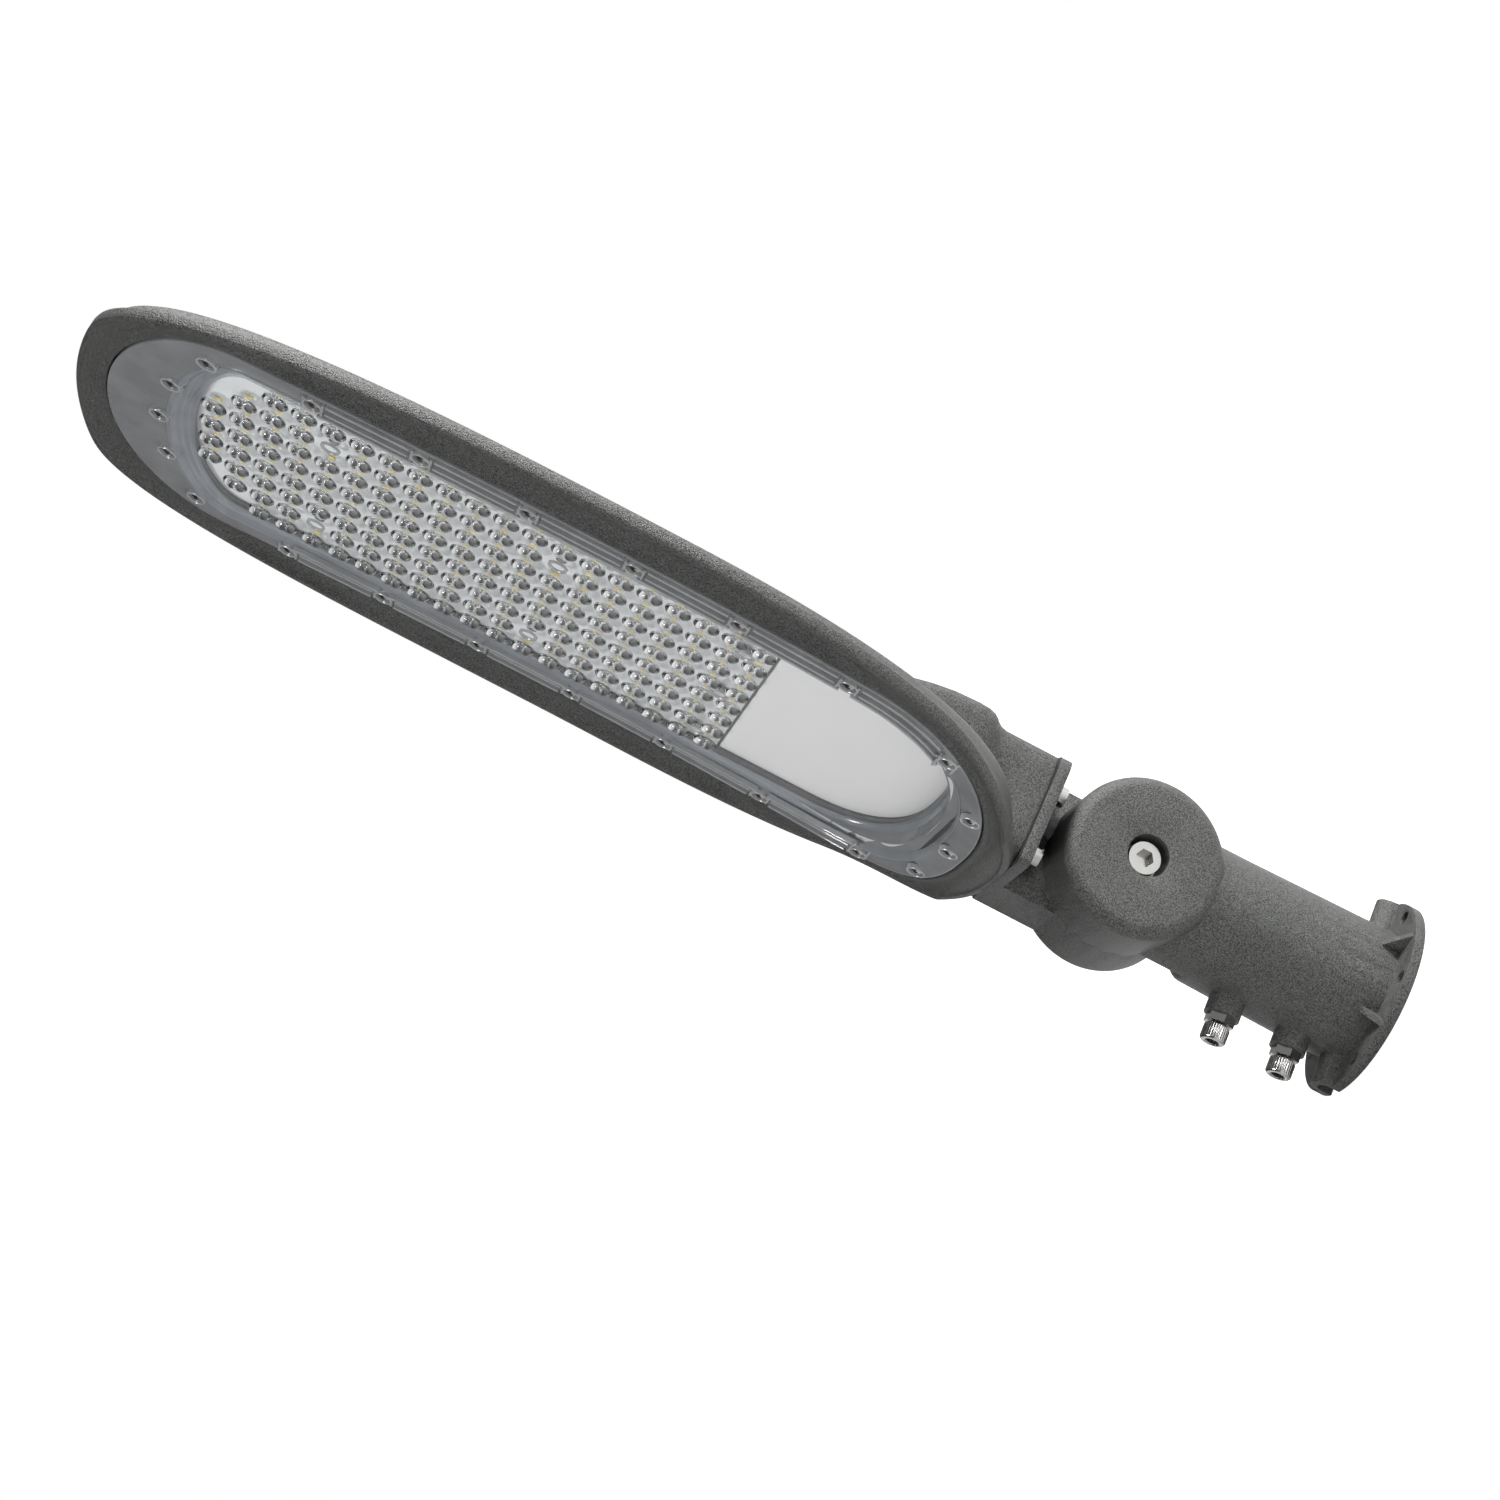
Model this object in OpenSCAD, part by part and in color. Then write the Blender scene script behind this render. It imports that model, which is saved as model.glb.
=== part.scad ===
// LED street luminaire with a tilting side-entry / post-top spigot.
// Frame: +Z runs up the spigot's axis, -Y is the light-emitting face, the tilt axis is along X.
// The origin is the centre of the spigot's open end, where the pole goes in.

/* [Head] */
// Width of the die-cast head
head_w = 255; // [245:1:265]
// Length of the head from its bolted seam to its tip
head_l = 489.5; // [470:0.5:500]
// Distance of the widest line from the seam
widest = 207; // [180:1:230]
// Radius of the shallow arc across the tip
tip_r = 271; // [180:1:400]
// Height of the side wall of the rim
rim_t = 6.5; // [5:0.5:10]
// Width of the flat lip round the rim
lip_w = 4; // [3:0.5:6]
// How far the lip stands in front of the tilt axis at its lowest point
lip_y = 15.5; // [14:0.5:18]
// Radius of the rim's long bow towards the tip
bow_tip = 4800; // [3500:100:9000]
// Radius of the rim's long bow towards the heel
bow_heel = 3200; // [2600:100:6000]
// Depth of the concave flute along each side
flute_d = 6; // [3:0.5:7]
// Thickness of the cast floor behind the lamp board
floor_t = 5; // [4:0.5:7]

/* [Clear cover] */
// Rim left between the head's tip and the cover
tip_rim = 14.2; // [13:0.2:26]
// Rim left between the seam and the cover
heel_rim = 17.2; // [15:0.2:30]
// Rim left beside the cover
side_rim = 32.5; // [26:0.5:40]
// Thickness of the cover's flange
flange_t = 3; // [2.5:0.5:4]
// Cover flange above the window
flange_tip = 41.5; // [38:0.5:50]
// Cover flange beside the window
flange_side = 20; // [18:0.5:24]
// Cover flange below the window
flange_heel = 22; // [20:0.5:28]
// Thickness of the flat window
window_t = 2.5; // [2:0.5:3]
// Side clearance of the cover in its recess
cover_gap = 0.5; // [0.3:0.1:1]
// Thickness of the silicone gasket under the cover
gasket_t = 1; // [0.8:0.1:1.5]
// Width of the gasket
gasket_w = 5; // [4:0.5:6]

/* [Lamp board] */
// Lenses across the window
lens_cols = 8; // [6:1:8]
// Lens spacing across the window
lens_dx = 18.6; // [16:0.1:18.8]
// Lens spacing along the window
lens_dz = 14.45; // [14:0.05:18]
// Diameter of one lens dome
lens_d = 12.8; // [10:0.2:13.4]
// Height of one lens dome
lens_h = 3.6; // [2.5:0.1:4]
// Thickness of the aluminium-core board
board_t = 1.6; // [1.2:0.2:2]
// Edge of one LED package
led_w = 3.5; // [2.8:0.1:5]
// Height of one LED package
led_h = 0.7; // [0.5:0.1:0.9]

/* [Driver bay] */
// Length of the white cover plate over the driver
bay_cover_l = 102; // [90:1:110]
// Thickness of the white cover plate
bay_cover_t = 1.5; // [1:0.1:2]
// Width of the driver
driver_w = 78; // [60:1:80]
// Height of the driver along the head
driver_l = 38; // [30:1:40]
// Depth of the driver
driver_t = 21; // [16:1:21]

/* [Neck and bracket] */
// Width of the neck and of the bracket plate
neck_w = 75; // [72:1:90]
// Depth of the neck in front of the tilt axis
neck_front = 33.5; // [31:0.5:36]
// Depth of the neck behind the tilt axis
neck_back = 26; // [24:0.5:32]
// Thickness of the solid foot of the neck that the bracket is bolted to
neck_foot = 14; // [12:1:18]
// Thickness of the bracket plate
plate_t = 5.7; // [5:0.1:8]
// Underside of the bracket plate above the tilt axis
plate_rise = 50.5; // [49:0.5:60]
// Thickness of the neck gasket
neck_gasket_t = 0.8; // [0.5:0.1:1.5]
// Width of the bracket's arm
arm_w = 35; // [30:0.5:36]

/* [Tilt joint] */
// Height of the tilt axis above the pole entry
pivot_z = 136; // [132:1:160]
// Diameter of both toothed discs
disc_d = 80; // [76:1:84]
// Outer face of the head's disc from the middle plane
disc_head_x = 41.5; // [39:0.5:46]
// Outer face of the spigot's disc from the middle plane
disc_spigot_x = 35; // [34.5:0.5:42]
// Rounding of the discs' outer edges
disc_round = 7; // [4:0.5:9]
// Teeth on each disc
teeth = 24; // [24, 36]
// Height of the teeth at the rim
tooth_h = 2.6; // [1.6:0.1:3.2]
// Gap kept between the meshed teeth
tooth_gap = 0.2; // [0.15:0.05:0.4]
// Middle plane of the teeth
tooth_x = -1; // [-2:0.5:0]

/* [Spigot] */
// Bore that takes the pole
bore_d = 62; // [48:1:62]
// Depth of the pole bore
bore_l = 84; // [70:1:84]
// Outside diameter of the tube at its foot
tube_d = 70.5; // [70.5:0.5:80]
// Outside diameter of the tube at its top
tube_top_d = 67.2; // [67.2:0.2:78]
// Gap between the tube's flat shoulder and the head's disc
shoulder_gap = 1.5; // [1:0.1:3]
// Rounding of the shoulder
shoulder_r = 7; // [3:0.5:9]
// Diameter of the flange
flange_d = 101; // [101:1:116]
// Thickness of the flange
flange_h = 5; // [4:0.5:8]
// Circle that the flange holes lie on
flange_pcd = 88.4; // [88:0.2:92]
// Diameter of the flange holes
flange_hole_d = 6.8; // [5:0.1:7]
// Height of the ribs above the flange
rib_h = 9; // [6:1:14]
// Thickness of the ribs
rib_t = 3; // [2:0.5:4]

/* [Fasteners] */
// Pan-head cover screws: thread diameter
cover_screw_d = 3.9; // [3:0.1:4]
// Pan-head cover screws: length under the head
cover_screw_l = 9; // [8:0.5:9]
// Nominal spacing of the cover screws along the sides
cover_screw_step = 52.6; // [40:0.2:70]
// Pivot bolt: thread diameter
bolt_d = 10; // [8:1:10]
// Pivot bolt: length under the head
bolt_l = 60; // [58:1:61]
// Bracket screws: thread diameter
bracket_screw_d = 6; // [5:1:6]
// Bracket screws: distance apart
bracket_screw_span = 33.2; // [32:0.2:38]
// Set screws: thread diameter
set_screw_d = 8; // [6:1:8]
// Set screws: height of the lower one
set_low_z = 29.7; // [28:0.1:32]
// Set screws: distance apart
set_span = 35.8; // [30:0.1:40]
// Outer end of the cast set-screw bosses from the tube's axis
set_boss_y = 42; // [41:0.5:46]
// Radial clearance between a thread and its hole
thread_gap = 0.04; // [0.02:0.01:0.08]

/* [Hidden] */
$fn = 48;
STEPS = 24;

// Head datum heights
seam_z = pivot_z + plate_rise + plate_t + neck_gasket_t;
tip_z = seam_z + head_l;
wide_z = seam_z + widest;
low_z = seam_z + widest + 30;
hw = head_w / 2;

// Cover and window outlines: half width, top, bottom, end heights
cov_hw = hw - side_rim;
cov_top = tip_z - tip_rim;
cov_bot = seam_z + heel_rim;
win_hw = cov_hw - flange_side - 1;
win_top = cov_top - flange_tip;
win_bot = cov_bot + flange_heel;
bay_top = win_bot + bay_cover_l;

// Depths, all measured towards +Y
window_front = -13.3;
window_back = window_front + window_t;
board_gap = 1.1 + led_h;
board_front = window_back + board_gap;
board_back = board_front + board_t;
floor_back = board_back + floor_t;
curl_z = seam_z + 69;
dip_z = seam_z + 99;

// Front of the rim and of the cover flange at height z
function bow(z, y0, rt, rh) = -y0 - pow(z - low_z, 2) / (2 * (z > low_z ? rt : rh));
function curl(z) = z < curl_z ? 0.0037 * pow(curl_z - z, 2) : 0;
function lip_at(z) = max(-neck_front - 2, bow(z, lip_y, bow_tip, bow_heel) - curl(z));
function cover_at(z) = bow(z, lip_y - 1.5, 6300, bow_heel) - (z < dip_z ? 0.0018 * pow(dip_z - z, 2) : 0);
function seat_at(z) = cover_at(z) + flange_t + gasket_t;
function ramp(z, a, b) = z <= a ? 0 : z >= b ? 1 : pow((z - a) / (b - a), 2) * (3 - 2 * (z - a) / (b - a));

// Point of the head's outline at angle t, drawn in by d
function sp(v, e) = (v < 0 ? -1 : 1) * pow(abs(v), e);
function head_pt(t, d) =
  let (up = sin(t) >= 0, a = hw - d,
       z = up ? wide_z + (tip_z - d - wide_z) * pow(abs(sin(t)), 2 / 3)
              : wide_z - (wide_z - seam_z + 2 - d) * pow(abs(sin(t)), 2 / 2.5),
       x = a * sp(cos(t), up ? 0.512 : 0.872),
       lim = up ? sqrt(max(0, pow(tip_r, 2) - pow(z - tip_z + d + tip_r, 2))) : a)
  [abs(x) > lim ? (x < 0 ? -lim : lim) : x, z];
// Point of a straight-sided outline with super-elliptic ends
function end_pt(t, w, zt, zb, ht, hb, nt, nb) =
  [w * sp(cos(t), sin(t) >= 0 ? 2 / nt : 2 / nb),
   sin(t) >= 0 ? zt - ht + ht * pow(abs(sin(t)), 2 / nt) : zb + hb - hb * pow(abs(sin(t)), 2 / nb)];
function cover_pt(t, g) = end_pt(t, cov_hw + g, cov_top + g, cov_bot - g, 64 + g, 90 + g, 2, 2.6);
function window_pt(t, g) = end_pt(t, win_hw + g, win_top + g, win_bot - g, 27 + g, 55 + g, 2, 2.6);
function turn(n) = [for (i = [0 : n - 1]) (i + 0.5) * 360 / n];

// Places of the cover screws
side_top = cov_top - 99;
side_low = cov_bot + 93;
side_n = max(1, floor((side_top - side_low - 30) / cover_screw_step));
screw_x = cov_hw - 7.2;
cover_screw_at = concat(
  [for (a = [-31, -15, 0, 15, 31]) [150 * sin(a), cov_top - 27.2 - 150 * (1 - cos(a))]],
  [for (s = [-1, 1], i = [0 : side_n]) [s * screw_x, side_top - i * cover_screw_step]],
  [for (s = [-1, 1]) [s * screw_x, side_low]],
  [for (s = [-1, 1]) [s * (cov_hw - 17.2), cov_bot + 37]],
  [for (s = [-1, 1]) [s * (cov_hw - 50), cov_bot + 11.2]],
  [[0, cov_bot + 7.5]]);

// Places of the lenses: the first rows are shortened by the window's arch
lens_top = win_top - 10.4;
lens_rows = floor((lens_top - bay_top - lens_d / 2) / lens_dz) + 1;
function board_hole(r, c) = (r == 4 || r == 12) && (c == 1 || c == lens_cols - 2);
function in_arch(x, z) =
  z + lens_d / 2 < win_top - 27 + 27 * sqrt(max(0, 1 - pow(min(1, (abs(x) + lens_d / 2) / win_hw), 2)));
lens_at = [for (r = [0 : lens_rows - 1], c = [0 : lens_cols - 1])
  let (x = (c - (lens_cols - 1) / 2) * lens_dx, z = lens_top - r * lens_dz)
  if (!board_hole(r, c) && (r > 1 || in_arch(x, z))) [x, z]];
board_screw_at = concat(
  [for (r = [4, 12], s = [-1, 1]) [s * ((lens_cols - 1) / 2 - 1) * lens_dx, lens_top - r * lens_dz]],
  [for (s = [-1, 0, 1]) [s * 3 * lens_dx, lens_top - (lens_rows - 1.5) * lens_dz]]);

// Tilt joint
disc_r = disc_d / 2;
shoulder_z = pivot_z - disc_r - shoulder_gap;
head_face = tooth_x - tooth_h / 2;
spigot_face = tooth_x + tooth_h / 2 + tooth_gap;
cap_h = bolt_d;
cap_r = bolt_d * 0.8;
cap_sink = 5;
washer_t = 2;
spring_t = 2.6;
bolt_seat = disc_spigot_x - cap_sink - cap_h;
cbore_floor = bolt_seat - washer_t - spring_t;
cbore_r = cap_r + 2.5;
nut_h = bolt_d * 0.95;
nut_af = bolt_d * 1.7;
nut_out = bolt_seat - bolt_l + 2.1;
pocket_af = nut_af + 0.6;
pocket_floor = nut_out + nut_h + washer_t;
bracket_x = 9.5;

// Gland hole, back wall of the driver bay, spot faces of the cover screws
gland_r = 6.2;
bay_y1 = 14;
spot_d = 0.4;

// Set screws
set_at = [set_low_z, set_low_z + set_span];
set_r = set_screw_d / 2;
jam_h = 4.5;
head_gap = 1.2;
set_tip = bore_d / 2 + 0.1;
set_seat = set_boss_y + jam_h + head_gap;

// Solid between two depths, drawn from an outline in the X-Z plane
module slab(pts, y0, y1) {
  translate([0, y1, 0]) rotate([90, 0, 0]) linear_extrude(y1 - y0) polygon(pts);
}

// Solid that follows the bowed front: its front lies d behind curve k, its back t behind that
module bowed(k, d, t, zb, zt, w) {
  zs = [for (i = [0 : 40]) zb + (zt - zb) * i / 40];
  rotate([90, 0, 90]) translate([0, 0, -w])
    linear_extrude(2 * w)
      polygon(concat([for (z = zs) [(k == 0 ? lip_at(z) : cover_at(z)) + d, z]],
        [for (i = [40 : -1 : 0]) [t > 50 ? t - 100
          : (k == 0 ? lip_at(zs[i]) : cover_at(zs[i])) + d + t, zs[i]]]));
}

module along_y(p, y0, y1, r, f = 32) {
  translate([p[0], y0, p[1]]) rotate([-90, 0, 0]) cylinder(h = y1 - y0, r = r, $fn = f);
}

module along_x(x0, x1, r, f = 64) {
  translate([x0, 0, pivot_z]) rotate([0, 90, 0]) cylinder(h = x1 - x0, r = r, $fn = f);
}

// Ring-shaped cutter that hollows the face between the cover and the lip, deeper along the sides
module face_cutter() {
  n = 80; m = 6; k = m + 3;
  ts = turn(n);
  pts = [for (t = ts)
    let (c = cover_pt(t, -1.4), l = head_pt(t, lip_w))
    each concat(
      [for (j = [0 : m]) let (s = j / m, x = c[0] + (l[0] - c[0]) * s, z = c[1] + (l[1] - c[1]) * s,
          side = ramp(z, seam_z + 102, seam_z + 138) * (1 - ramp(z, tip_z - 100, tip_z - 62)))
        [x, (cover_at(z) + 0.4) * (1 - s) + (lip_at(z) + 0.7) * s
          + (0.6 + flute_d * side) * 4 * s * (1 - s), z]],
      [[l[0], -90, l[1]], [c[0], -90, c[1]]])];
  faces = [for (i = [0 : n - 1], j = [0 : k - 1])
    let (a = i * k + j, b = i * k + (j + 1) % k, c = ((i + 1) % n) * k + (j + 1) % k, d = ((i + 1) % n) * k + j)
    each [[a, b, c], [a, c, d]]];
  polyhedron(pts, faces);
}

// Shallow pan that rounds from the rim up to the flat back of the casting
module back_pan() {
  n = 88; k = 7;
  ring = [[5, 0, 3.5], [5.2, 0.1, 6], [6.5, 0.42, 6.5], [9.5, 0.72, 6.5], [14, 0.91, 6.5], [20, 0.985, 6.5], [27, 1, 6.5]];
  pts = concat([[0, lip_at(wide_z) + 3, wide_z]],
    [for (t = turn(n), j = [0 : k - 1]) let (p = head_pt(t, ring[j][0]), y = lip_at(p[1]) + ring[j][2])
      [p[0], y + (floor_back - y) * ring[j][1], p[1]]]);
  faces = concat(
    [for (i = [0 : n - 1]) let (i2 = (i + 1) % n) [0, 1 + i2 * k, 1 + i * k]],
    [for (i = [0 : n - 1], j = [0 : k - 2])
      let (a = 1 + i * k + j, d = 1 + ((i + 1) % n) * k + j) each [[a, d, d + 1], [a, d + 1, a + 1]]],
    [[for (i = [0 : n - 1]) i * k + k]]);
  polyhedron(pts, faces);
}

// Hump over the driver
module hump() {
  z0 = seam_z + 43;
  hull() for (s = [-1, 1]) {
    translate([s * 35.5, 19, z0]) sphere(11.5, $fn = 32);
    translate([s * 37, 15.6, z0 + 24]) sphere(12, $fn = 32);
    translate([s * 39, 5.9, z0 + 49]) sphere(12, $fn = 32);
    translate([s * 43, -5.5, z0 + 69]) sphere(12, $fn = 32);
    translate([s * 60, -11, z0 + 88]) sphere(8, $fn = 32);
    translate([s * 60, -9, z0 + 30]) sphere(8, $fn = 32);
    translate([s * 40, -9, z0 + 2]) sphere(8, $fn = 32);
  }
}

// Rounded rectangle in plan that the neck, its gasket and the plate share
module neck_plan(c, d = 0) {
  w = neck_w / 2 - d;
  difference() {
    translate([-w, -neck_front + d]) square([2 * w, neck_front + neck_back - 2 * d]);
    for (s = [-1, 1]) {
      translate([s * w, neck_back - d]) rotate(s > 0 ? 180 : 270) corner(c);
      translate([s * w, -neck_front + d]) rotate(s > 0 ? 90 : 0) corner(3);
    }
  }
}
module corner(r) {
  difference() {
    translate([-1, -1]) square(r + 1);
    translate([r, r]) circle(r, $fn = 32);
  }
}

module housing() {
  color([0.37, 0.38, 0.37]) difference() {
    union() {
      intersection() {
        slab([for (t = turn(112)) head_pt(t, 0)], -60, 10);
        bowed(0, 0, rim_t, seam_z - 3, tip_z + 1, hw + 1);
      }
      back_pan();
      hump();
      intersection() {
        translate([0, 0, seam_z]) linear_extrude(60) neck_plan(9);
        bowed(0, 0, 100 + neck_back + 1, seam_z, seam_z + 45, neck_w);
      }
      fins();
    }
    translate([-hw, -60, seam_z - 20]) cube([head_w, 120, 20]);
    // recess and seat for the cover
    intersection() {
      slab([for (t = turn(88)) cover_pt(t, cover_gap)], -90, 10);
      rotate([90, 0, 90]) translate([0, 0, -hw]) linear_extrude(head_w)
        polygon(concat([for (i = [0 : 40]) let (z = cov_bot - 2 + (cov_top - cov_bot + 4) * i / 40)
          [seat_at(z), z]], [[-90, cov_top + 2], [-90, cov_bot - 2]]));
    }
    // pocket for the lamp board
    slab([for (t = turn(72)) window_pt(t, 2.2)], -60, board_back);
    // driver bay, wiring space and neck passage
    translate([-driver_w / 2 - 2, -60, win_bot + 4]) cube([driver_w + 4, 60 + bay_y1, driver_l + 6]);
    translate([-driver_w / 2 - 2, -60, win_bot + 4]) cube([driver_w + 4, 62, driver_l + 30]);
    translate([-30, -8, seam_z + neck_foot]) cube([60, neck_back + 1, 45 - neck_foot]);
    translate([bracket_x, 0, seam_z - 1]) cylinder(h = neck_foot + 3, r = gland_r, $fn = 32);
    for (s = [-1, 1]) translate([bracket_x, s * bracket_screw_span / 2, seam_z - 1])
      cylinder(h = 12, r = bracket_screw_d / 2 + thread_gap, $fn = 32);
    for (p = cover_screw_at)
      along_y(p, seat_at(p[1]) - 2, cover_at(p[1]) + cover_screw_l + 0.6, cover_screw_d / 2 + thread_gap, 24);
    for (p = board_screw_at) along_y(p, board_back - 1, board_back + 3.4, 1.5 + thread_gap, 24);
    for (s = [-1, 1]) along_y([s * (driver_w / 2 - 6), win_bot + 7 + driver_l / 2], 0, bay_y1 + 2.6, 1.75, 24);
    face_cutter();
  }
}

// Cooling fins on the back of the casting, crowned both ways
module fins() {
  z0 = bay_top + 6; z1 = tip_z - 30; n = 20;
  intersection() {
    slab([for (t = turn(64)) head_pt(t, 30)], -12, 40);
    rotate([90, 0, 90]) translate([0, 0, -hw]) linear_extrude(head_w)
      polygon(concat([[-12, z0], [-12, z1]],
        [for (i = [n : -1 : 0]) let (s = i / n) [floor_back + 12 * (1 - pow(s, 4)) * (1 - pow(1 - s, 8)), z0 + (z1 - z0) * s]]));
    translate([0, 0, z0]) linear_extrude(z1 - z0)
      polygon(concat([[90, -12], [-90, -12]],
        [for (i = [-9 : 9]) [i * 10, floor_back + 12 * (1 - pow(i / 9.6, 2))]]));
    for (i = [-4 : 4]) translate([i * 17 - 1.25, floor_back - 1, z0]) cube([2.5, 14, z1 - z0]);
  }
}

module cover_gasket() {
  color([0.75, 0.76, 0.76]) intersection() {
    difference() {
      slab([for (t = turn(72)) window_pt(t, 3 + gasket_w)], -60, 10);
      slab([for (t = turn(72)) window_pt(t, 3)], -61, 11);
    }
    bowed(1, flange_t, gasket_t, cov_bot - 2, cov_top + 2, hw);
  }
}

module dome() {
  r = (pow(lens_d / 2, 2) + pow(lens_h, 2)) / (2 * lens_h);
  rotate_extrude($fn = 24) intersection() {
    translate([0, lens_h - r]) circle(r, $fn = 64);
    translate([0, -0.5]) square([lens_d, lens_h + 2]);
  }
}

module lens_cover() {
  color([0.75, 0.79, 0.82, 0.45]) {
    difference() {
      union() {
        intersection() {
          slab([for (t = turn(88)) cover_pt(t, 0)], -60, 10);
          bowed(1, 0, flange_t, cov_bot - 2, cov_top + 2, hw);
        }
        // wall round the window, from the flange down to the window's plane
        intersection() {
          slab([for (t = turn(72)) window_pt(t, 1.8)], -60, window_back);
          bowed(1, 1, 100 + window_back, cov_bot - 2, cov_top + 2, hw);
        }
      }
      slab([for (t = turn(72)) window_pt(t, 0)], -60, window_front);
      slab([for (t = turn(72)) window_pt(t, -0.2)], window_back, 20);
      for (p = cover_screw_at) {
        along_y(p, -40, 10, cover_screw_d / 2 + 0.25, 24);
        along_y(p, -40, cover_at(p[1]) + spot_d, 4.3, 24);
      }
    }
    for (p = lens_at) translate([p[0], window_front, p[1]]) rotate([90, 0, 0]) dome();
  }
}

module led_board() {
  color([0.9, 0.92, 0.92]) difference() {
    intersection() {
      slab([for (t = turn(72)) window_pt(t, 0.4)], board_front, board_back);
      translate([-hw, -60, bay_top + 1]) cube([head_w, 100, head_l]);
    }
    for (p = board_screw_at) along_y(p, -30, 10, 1.75, 24);
  }
}

module led_chips() {
  color([0.95, 0.83, 0.35]) for (p = lens_at)
    translate([p[0] - led_w / 2, board_front - led_h, p[1] - led_w / 2]) cube([led_w, led_h, led_w]);
}

module board_screws() {
  color("silver") for (p = board_screw_at) {
    along_y(p, board_front - 0.9, board_front, 2.7, 24);
    along_y(p, board_front - 0.1, board_back + 3, 1.5, 24);
  }
}

module driver_cover() {
  color([0.93, 0.93, 0.92]) intersection() {
    slab([for (t = turn(72)) window_pt(t, -0.6)], board_back - bay_cover_t, board_back);
    translate([-hw, -60, win_bot - 1]) cube([head_w, 100, bay_cover_l + 0.4]);
  }
}

module led_driver() {
  color([0.2, 0.2, 0.21]) difference() {
    translate([-driver_w / 2, bay_y1 - driver_t, win_bot + 7]) cube([driver_w, driver_t, driver_l]);
    for (s = [-1, 1]) translate([s * (driver_w / 2 - 6) - 6.5, bay_y1 - driver_t - 1, win_bot + 6])
      cube([13, driver_t - 1.5, driver_l + 2]);
    for (s = [-1, 1]) along_y([s * (driver_w / 2 - 6), win_bot + 7 + driver_l / 2], 0, 30, 1.9, 24);
  }
}

module driver_screws() {
  color("silver") for (s = [-1, 1]) {
    along_y([s * (driver_w / 2 - 6), win_bot + 7 + driver_l / 2], bay_y1 - 4.5, bay_y1 - 2.5, 3.2, 24);
    along_y([s * (driver_w / 2 - 6), win_bot + 7 + driver_l / 2], bay_y1 - 2.6, bay_y1 + 2.2, 1.7, 24);
  }
}

module terminal_block() {
  z0 = win_bot + driver_l + 13;
  color([0.85, 0.85, 0.82]) difference() {
    translate([-17, -6.5, z0]) cube([34, 8.5, 16]);
    for (i = [-1, 0, 1]) {
      along_y([i * 11, z0 + 11.5], -7, -1, 2, 24);
      translate([i * 11, -2, z0 - 1]) cylinder(h = 8, r = 2.4, $fn = 24);
    }
  }
}

module cover_screws() {
  color("silver") for (p = cover_screw_at) difference() {
    translate([p[0], cover_at(p[1]) + spot_d, p[1]]) rotate([90, 0, 0]) {
      rotate_extrude($fn = 24) intersection() {
        translate([0, -3.6]) circle(5.6, $fn = 48);
        square([3.7, 2.2]);
      }
      translate([0, 0, 0.1 - cover_screw_l]) cylinder(h = cover_screw_l, r = cover_screw_d / 2, $fn = 24);
    }
    along_y(p, cover_at(p[1]) - 4, cover_at(p[1]) - 0.4, 1.3, 6);
  }
}

module neck_gasket() {
  color([0.08, 0.08, 0.08]) difference() {
    translate([0, 0, seam_z - neck_gasket_t]) linear_extrude(neck_gasket_t) neck_plan(9, 0.6);
    translate([bracket_x, 0, seam_z - 5]) cylinder(h = 10, r = gland_r + 0.6, $fn = 32);
    for (s = [-1, 1]) translate([bracket_x, s * bracket_screw_span / 2, seam_z - 5])
      cylinder(h = 10, r = bracket_screw_d / 2 + 0.3, $fn = 32);
  }
}

// Rounded disc whose flat outer face lies at x1 and inner face at x0
module round_disc(x0, x1) {
  t = abs(x1 - x0);
  translate([x0, 0, pivot_z]) rotate([0, x1 > x0 ? 90 : -90, 0]) rotate_extrude($fn = 96) {
    square([disc_r - disc_round, t]);
    square([disc_r, t - disc_round]);
    translate([disc_r - disc_round, t - disc_round]) circle(disc_round, $fn = 64);
  }
}

// Radial teeth, full height at the rim and fading to the axis; valleys lie in the plane x0
module serration(x0, dir, phase) {
  n = 2 * teeth; r = disc_r + 4; h = tooth_h * r / disc_r;
  rim = [for (i = [0 : n - 1]) let (a = phase + i * 360 / n)
    [x0 + (i % 2 == 0 ? dir * h : 0), r * sin(a), pivot_z + r * cos(a)]];
  back = [for (i = [0 : n - 1]) let (a = phase + i * 360 / n)
    [x0 - dir * 3, r * sin(a), pivot_z + r * cos(a)]];
  pts = concat([[x0, 0, pivot_z]], rim, back, [[x0 - dir * 3, 0, pivot_z]]);
  faces = [for (i = [0 : n - 1]) let (j = (i + 1) % n, a = 1 + i, b = 1 + j, c = 1 + n + i, d = 1 + n + j)
    each dir > 0 ? [[0, a, b], [a, c, b], [b, c, d], [2 * n + 1, d, c]]
                 : [[0, b, a], [a, b, c], [b, d, c], [2 * n + 1, c, d]]];
  intersection() {
    polyhedron(pts, faces);
    along_x(x0 - 10, x0 + 10, disc_r, 96);
  }
}

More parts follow.
